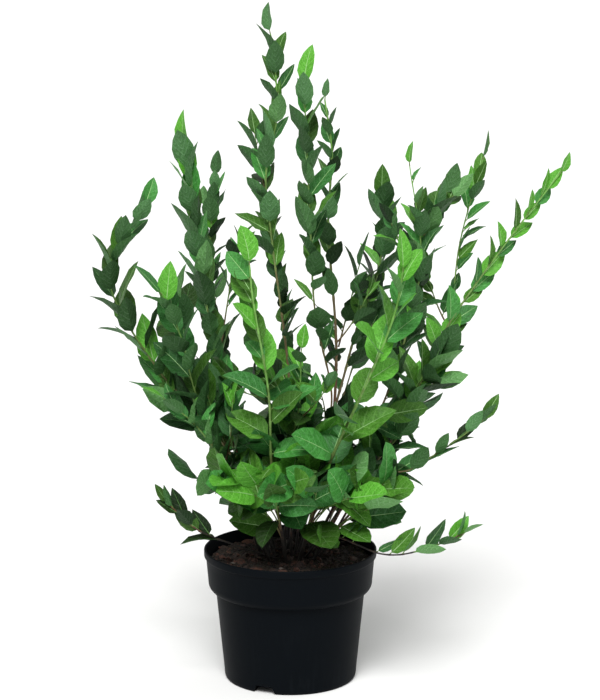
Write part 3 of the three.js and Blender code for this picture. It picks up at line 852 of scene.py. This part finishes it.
def twigLine(limb):
    share = np.linspace(0, 1, limb.steps + 1)
    return limb.points, lerp(plant["twigRadius"], plant["tipRadius"], share), plant["twigAge"] * (1 - share)


def stalkLine(leaf):
    points = leaf["stalk"] + [leaf["root"] + leaf["heading"] * stalk["inLeaf"]]
    thick = np.linspace(stalk["foot"], stalk["tip"], len(points)) * stalk["radius"]
    return points, thick, np.linspace(stalk["footAge"], stalk["tipAge"], len(points))


limbGrower, leafGrower = limbTree(), leafTree()


def limbPiece(name, lines):
    return grown(name, limbSeeds(name + "Seeds", lines), limbGrower, {**limbShape, "sides": limbSides[name]})


caneLines = [shootLine(limb, {**habits["shoot"], **shoots[name]}) for name, limb in limbs.items()]
stalkLines = [stalkLine(leaf) for group in foliage.values() for leaf in group]
canes = limbPiece("canes", caneLines)
sideTwigs = limbPiece("sideTwigs", [twigLine(limb) for limb in twigs])
leafStalks = limbPiece("leafStalks", stalkLines)


def leafPiece(name, members):
    leaves = [leaf for member in members for leaf in foliage[member]]
    keys = [key for key in leaves[0] if key != "stalk"]
    mesh = seedMesh(name + "Seeds", [leaf["root"] for leaf in leaves], [],
                    **{key: [leaf[key] for leaf in leaves] for key in keys})
    piece = grown(name, mesh, leafGrower, leafShape)
    piece.data.uv_layers["leafMap"].active_render = True
    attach(piece, "root")
    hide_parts(*["leaves_" + member for member in members])
    print(name, len(leaves), "leaves,", len(piece.data.polygons), "faces")


for name in ("leavesTop", "leavesLeft", "leavesFront", "leavesRight", "leavesBack"):
    leafPiece(name, [m for m in foliage if name == next(v for k, v in leafWords.items() if k in m)])

for piece in (canes, sideTwigs, leafStalks):
    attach(piece, "root")
    if piece is canes:
        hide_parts(*[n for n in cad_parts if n.startswith(("cane_", "bough_"))])
    print(piece.name, len(piece.data.polygons), "faces")


# pot

pot = {
    "height": 0.146, "rimRadius": 0.095, "rimFlare": 0.009, "collarTop": 0.0928, "collarFoot": 0.0904,
    "collarDrop": 0.037, "lipDrop": 0.0095, "bodyTop": 0.0821, "bodyFoot": 0.073, "foot": 0.070,
    "footRounding": 0.006, "wall": 0.0024, "ringWidth": 0.009, "floor": 0.009, "hub": 0.013, "sides": 192,
    "draft": 0.0001, "bodyFrom": 0.008, "bodyGap": 0.001, "bodyRows": 14, "collarGap": 0.002, "collarRows": 6,
    "flareIn": 0.0006, "flareDrop": 0.0066, "flareWidth": 0.0016, "flareHeight": 0.0022,
    "steps": {"foot": 10, "lip": 12, "flare": 5, "rim": 10},
    "notches": 3, "notchTop": 0.019, "notchFoot": 0.026, "notchHeight": 0.0086, "notchTurn": -113.4,
    "slotInner": 0.040, "slotOuter": 0.056, "slotWidth": 0.015, "edge": 0.0007,
    "colour": (8, 12, 16), "dust": (30, 34, 38), "shade": 0.8, "gloss": 0.5, "shine": 0.035,
    "cloudScale": 22.0, "grainScale": 1500.0, "streakScale": (260.0, 260.0, 14.0), "dustHeight": 0.03,
    "dustRange": (0.5, 0.72), "bump": 0.1, "bumpDepth": 0.0003, "slotLow": 0.005, "slotHigh": 0.018,
    "cutPast": 0.001, "cutShort": 0.005, "sharp": 35.0,
}


def rounded(centreR, centreZ, radiusR, radiusZ, first, last, steps):
    angles = np.radians(np.linspace(first, last, steps + 1))
    return [(centreR + radiusR * math.cos(a), centreZ + radiusZ * math.sin(a)) for a in angles]


def rows(first, last, count):
    # in between points of a straight wall, so that its faces stay short
    return [tuple(lerp(np.array(first), np.array(last), i / count)) for i in range(count)]


def turnedMesh(name, profile, sides):
    # lathe of radius and height pairs that start and end on the axis
    vertices, faces, rings = [], [], []
    for radius, height in profile:
        count = 1 if radius < 1e-6 else sides
        rings.append(range(len(vertices), len(vertices) + count))
        vertices += circle(radius, height, count)
    for lower, upper in zip(rings, rings[1:]):
        for i in range(sides):
            a, b = lower[i % len(lower)], lower[(i + 1) % len(lower)]
            c, d = upper[(i + 1) % len(upper)], upper[i % len(upper)]
            corners = [v for k, v in enumerate((a, b, c, d)) if v not in (a, b, c, d)[:k]]
            if len(corners) > 2:
                faces.append(corners)
    return plainMesh(name, vertices, [], faces)


def potProfile():
    p, steps = pot, pot["steps"]
    e, collarFootHeight = p["edge"], p["height"] - p["collarDrop"]
    bodyHeight, lip = collarFootHeight - p["lipDrop"], p["collarFoot"] - p["bodyTop"]
    ring, wall, top = p["foot"] - p["ringWidth"], p["wall"], p["height"]
    rim, floorTop = wall / 2, p["floor"] + wall
    collarFoot = (p["collarFoot"] + p["draft"], collarFootHeight + p["collarGap"])
    flare = (p["collarTop"] + p["flareIn"], top - p["flareDrop"], p["flareWidth"], p["flareHeight"])
    profile = [(0, 0), (p["hub"] - e, 0), (p["hub"], e), (p["hub"], p["floor"])]
    profile += [(ring, p["floor"]), (ring, e), (ring + e, 0)]
    foot = (p["foot"], p["footRounding"], p["bodyFoot"] - p["foot"], p["footRounding"])
    profile += rounded(*foot, -90, 0, steps["foot"])
    bodyTop = (p["bodyTop"] - p["draft"], bodyHeight - p["bodyGap"])
    profile += rows((p["bodyFoot"] + p["draft"], p["bodyFrom"]), bodyTop, p["bodyRows"])
    profile += rounded(p["bodyTop"], collarFootHeight, lip, p["lipDrop"], -90, 0, steps["lip"])
    profile += rows(collarFoot, (p["collarTop"], top - p["rimFlare"]), p["collarRows"])
    profile += rounded(*flare, -90, 0, steps["flare"])
    profile += rounded(p["rimRadius"] - rim, top - rim, rim, rim, 0, 180, steps["rim"])
    profile += [(p["collarTop"] - wall, top - p["rimFlare"]), (p["collarFoot"] - wall, collarFootHeight)]
    profile += [(p["bodyTop"] - wall, bodyHeight), (p["bodyFoot"] - wall, floorTop), (0, floorTop)]
    return profile


def cutter(turn, inner, outer, low, high, lowWidth, highWidth):
    # a six-sided block that points outwards, as wide below and above as it is told
    c, s = math.cos(turn), math.sin(turn)
    corners = []
    for height, width in ((low, lowWidth), (high, highWidth)):
        for along, across in ((inner, -1), (outer, -1), (outer, 1), (inner, 1)):
            y = across * width / 2
            corners.append((along * c - y * s, along * s + y * c, height))
    sides = [(0, 3, 2, 1), (4, 5, 6, 7), (0, 1, 5, 4), (1, 2, 6, 5), (2, 3, 7, 6), (3, 0, 4, 7)]
    return placed("cutter", plainMesh("cutter", corners, [], sides))


def potSurface():
    nodes = surface("mouldedPotPlastic")
    place = nodes.place()
    cloud = nodes.noise(place, pot["cloudScale"], 3.0)
    grain = nodes.noise(place, pot["grainScale"])
    streak = nodes.noise(nodes.scaled(place, pot["streakScale"]), 1.0, 3.0, 0.6)
    low = nodes.between(nodes.split(place).part("Z"), 0.0, pot["dustHeight"], to=(1.0, 0.0))
    dusty = nodes.between(streak * 0.5 + cloud * 0.5, *pot["dustRange"]) * (low * 0.35 + 0.10)
    darker = linear([c * pot["shade"] for c in pot["colour"]])
    base = nodes.mixed(cloud * 0.5, linear(pot["colour"]), darker)
    return finishSurface(nodes, {
        "Base Color": nodes.mixed(dusty, base, linear(pot["dust"])),
        "Roughness": cloud * 0.08 + dusty * 0.5 + (pot["gloss"] - 0.04),
        "Normal": nodes.bump(grain + streak * 0.3, pot["bump"], pot["bumpDepth"]),
        "Specular IOR Level": pot["shine"]})


def makePot():
    shell = placed("potShell", turnedMesh("potShell", potProfile(), pot["sides"]))
    cutters = []
    for i in range(pot["notches"]):
        turn = math.radians(pot["notchTurn"] + 360 / pot["notches"] * i)
        spread = (pot["notchFoot"] - pot["notchTop"]) / pot["notchHeight"] * pot["cutPast"]
        cutters.append(cutter(
            turn, pot["foot"] - pot["ringWidth"] * 1.5, pot["rimRadius"] - pot["cutShort"], -pot["cutPast"],
            pot["notchHeight"], pot["notchFoot"] + spread, pot["notchTop"]))
        cutters.append(cutter(
            turn, pot["slotInner"], pot["slotOuter"], pot["slotLow"], pot["slotHigh"],
            pot["slotWidth"], pot["slotWidth"]))
    for block in cutters:
        cut = shell.modifiers.new("cut", "BOOLEAN")
        cut.operation, cut.solver, cut.object = "DIFFERENCE", "EXACT", block
    mesh = evaluatedMesh(shell)
    shell.modifiers.clear()
    shell.data = mesh
    for block in cutters:
        bpy.data.objects.remove(block)
    mesh.shade_smooth()
    mesh.set_sharp_from_angle(angle=math.radians(pot["sharp"]))
    mesh.materials.append(potSurface())
    return shell


potShell = makePot()
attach(potShell, "root")
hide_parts("pot")
print("potShell", len(potShell.data.polygons), "faces")


# soil

bed = {
    "radius": 0.0872, "top": 0.1362, "edgeDrop": 0.003, "depth": 0.02, "rings": 44, "sides": 120,
    "lump": 0.00077, "wave": (90, 110), "shift": (1, 2), "ripple": (230, 170, 260), "rippleShare": 0.6,
    "inset": 0.985, "patchScale": 60.0, "grainRange": (0.4, 0.7), "bump": 0.8, "bumpDepth": 0.0012,
}
crumbs = {"density": 120000.0, "smallest": 0.0007, "largest": 0.0024, "flatness": 0.7, "detail": 1, "seed": 3}
chips = {"density": 14000.0, "smallest": 0.002, "largest": 0.0052, "flatness": 0.4, "detail": 2, "seed": 8}
lumps = {"tilt": 0.9, "long": (0.8, 1.9), "fewLarge": 2.2, "rough": 0.9, "roughScale": 520.0, "upFacing": 0.7}
# light and dark colour, roughness, and the scale of the grain
earths = {
    "dampPeat": [(44, 32, 22), (9, 7, 5), 0.85, 300.0],
    "dryPeat": [(60, 46, 36), (26, 19, 15), 0.9, 300.0],
    "redBarkChip": [(82, 50, 36), (38, 22, 17), 0.75, 500.0],
    "darkBarkChip": [(52, 34, 26), (15, 10, 8), 0.8, 500.0],
    "greyGrit": [(128, 118, 112), (84, 76, 72), 0.8, 700.0],
}


def soilHeight(x, y):
    r = math.hypot(x, y) / bed["radius"]
    (a, b), (c, d), (e, f, g) = bed["wave"], bed["shift"], bed["ripple"]
    wave = math.sin(x * a + c) * math.cos(y * b + d)
    wave = wave + bed["rippleShare"] * math.sin(x * e + y * f) * math.cos(y * g)
    return bed["top"] - bed["edgeDrop"] * r * r + bed["lump"] * wave * (1 - r ** 6)


def soilMesh():
    vertices, faces = [(0, 0, soilHeight(0, 0))], []
    sides, rings = bed["sides"], bed["rings"]
    for ring in range(1, rings + 1):
        level = circle(bed["radius"] * ring / rings, 0.0, sides)
        vertices += [(x, y, soilHeight(x, y)) for x, y, _ in level]
    for drop in (1, 2):
        for i in range(sides):
            x, y, z = vertices[1 + (rings - 1) * sides + i]
            vertices.append((x * bed["inset"], y * bed["inset"], z - bed["depth"] * drop / 2))
    vertices.append((0, 0, bed["top"] - bed["depth"]))
    last = rings + 2
    for i in range(sides):
        j = (i + 1) % sides
        faces.append((0, 1 + i, 1 + j))
        for ring in range(1, last):
            a, b = 1 + (ring - 1) * sides, 1 + ring * sides
            faces.append((a + i, b + i, b + j, a + j))
        end = 1 + (last - 1) * sides
        faces.append((end + i, len(vertices) - 1, end + j))
    mesh = plainMesh("soilBed", vertices, [], faces)
    mesh.shade_smooth()
    return mesh


def earthSurface(name, colour, dark, gloss, scale):
    nodes = surface(name)
    clump = nodes.noise(nodes.place(), scale, 4.0, 0.65)
    patch = nodes.noise(nodes.place(), bed["patchScale"])
    mask = nodes.between(clump * 0.7 + patch * 0.4, *bed["grainRange"])
    return finishSurface(nodes, {
        "Base Color": nodes.mixed(mask, linear(dark), linear(colour)),
        "Roughness": mask * 0.1 + (gloss - 0.05), "Normal": nodes.bump(clump, bed["bump"], bed["bumpDepth"])})


def crumbTree(name, shape, materials):
    # lumps scattered over the faces that look up, each roughened in its own way
    nodes, given = geometryTree(name, shape)
    isTop = nodes.split(nodes.add("GeometryNodeInputNormal")).part("Z")
    points = nodes.add("GeometryNodeDistributePointsOnFaces", {
        "Mesh": given["Mesh"], "Selection": isTop.maths("GREATER_THAN", lumps["upFacing"]),
        "Density": given["density"], "Seed": given["seed"]})
    lump = nodes.add("GeometryNodeMeshIcoSphere", {"Radius": 1.0, "Subdivisions": given["detail"]})
    turn = nodes.random((0.0, 0.0, 0.0), (lumps["tilt"], lumps["tilt"], math.tau), given["seed"])
    size = nodes.random(0.0, 1.0, given["seed"] + 1) ** lumps["fewLarge"]
    size = given["smallest"] + (given["largest"] - given["smallest"]) * size
    long = nodes.random(*lumps["long"], given["seed"] + 2)
    points = nodes.store(points, "kind", nodes.random(0.0, 1.0, given["seed"] + 3))
    made = nodes.add("GeometryNodeInstanceOnPoints", {
        "Points": points, "Instance": lump, "Rotation": turn,
        "Scale": nodes.joined(size * long, size, size * given["flatness"])})
    made = nodes.add("GeometryNodeRealizeInstances", {"Geometry": made})
    shift = nodes.noise(nodes.add("GeometryNodeInputPosition"), lumps["roughScale"], 1.0).part("Color")
    middle = nodes.add("ShaderNodeVectorMath", {0: shift, 1: (0.5, 0.5, 0.5)}, operation="SUBTRACT")
    offset = middle * (given["largest"] * lumps["rough"])
    made = nodes.add("GeometryNodeSetPosition", {"Geometry": made, "Offset": offset})
    for limit, earth in materials:
        made = nodes.painted(made, soils[earth], nodes.named("kind").maths("LESS_THAN", limit))
    return nodes.finished(made)


soils = {name: earthSurface(name, *earth) for name, earth in earths.items()}
soilBed = placed("soilBed", soilMesh())
soilBed.data.materials.append(soils["dampPeat"])
# each finish is for the share of the lumps below its number, the later ones over the earlier
crumbGrower = crumbTree("crumbGrower", crumbs, [(2.0, "dampPeat"), (0.3, "dryPeat")])
chipFinishes = [(2.0, "darkBarkChip"), (0.5, "redBarkChip"), (0.05, "greyGrit")]
chipGrower = crumbTree("chipGrower", chips, chipFinishes)
soilCrumbs = grown("soilCrumbs", soilMesh(), crumbGrower, crumbs)
barkChips = grown("barkChips", soilMesh(), chipGrower, chips)
for piece in (soilBed, soilCrumbs, barkChips):
    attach(piece, "root")
    print(piece.name, len(piece.data.polygons), "faces")
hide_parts("soil")


# stage

def makeFloor():
    ring = circle(studio["floorRadius"], 0.0, studio["floorSides"])
    mesh = plainMesh("floor", ring, [], [list(range(len(ring)))])
    look = {"Base Color": (*studio["floorColour"], 1.0), "Roughness": studio["floorRough"]}
    mesh.materials.append(finishSurface(surface("paleFloor"), look))
    placed("floor", mesh)


def makeLight(name, light):
    data = bpy.data.lights.new(name, "SUN")
    data.energy, data.angle = light["strength"], math.radians(light["softness"])
    placed(name, data).rotation_euler = Vector(light["from"]).to_track_quat("Z", "Y").to_euler()


makeFloor()
makeLight("keyLight", studio["key"])
makeLight("fillLight", studio["fill"])
world = bpy.data.worlds.new("studioWorld")
world.use_nodes = True
world.node_tree.nodes["Background"].inputs["Color"].default_value = (*studio["skyColour"], 1.0)
world.node_tree.nodes["Background"].inputs["Strength"].default_value = studio["sky"]
bpy.context.scene.world = world
print("stage ready")
